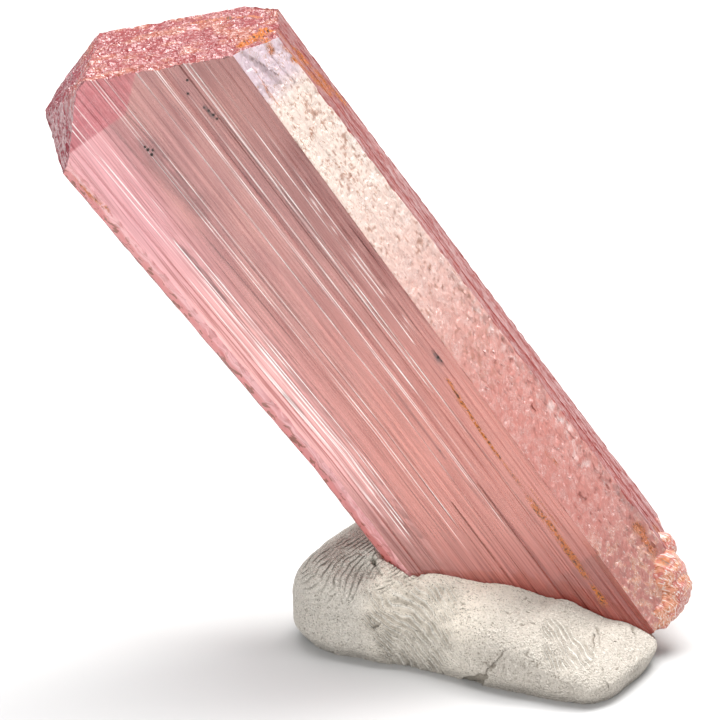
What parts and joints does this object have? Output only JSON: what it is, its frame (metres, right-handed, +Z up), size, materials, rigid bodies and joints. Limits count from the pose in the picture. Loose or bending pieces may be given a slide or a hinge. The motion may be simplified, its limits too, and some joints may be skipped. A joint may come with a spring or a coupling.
{
  "type": "kunzite crystal on putty",
  "caption": "Leaning striated pink prism crystal with a rough oblique top and knobbly foot, set in a pressed lump of off-white putty.",
  "frame": {"origin": "middle of the putty's flat underside, on the surface it stands on", "axes": "+Z up; -Y towards the viewer, facing the crystal's broad front face; +X to the viewer's right, so that the crystal leans up towards -X"},
  "size_m": [0.0639, 0.0279, 0.0632],
  "materials": {
    "kunzite": "clear pink crystal, striated along its length, etched and granular on its narrow faces and its ends",
    "putty": "matte off-white, with pressed ridges, pores and small cracks"
  },
  "bodies": {
    "root": {"kunzite_crystal": "kunzite", "putty": "putty"}
  },
  "joints": []
}
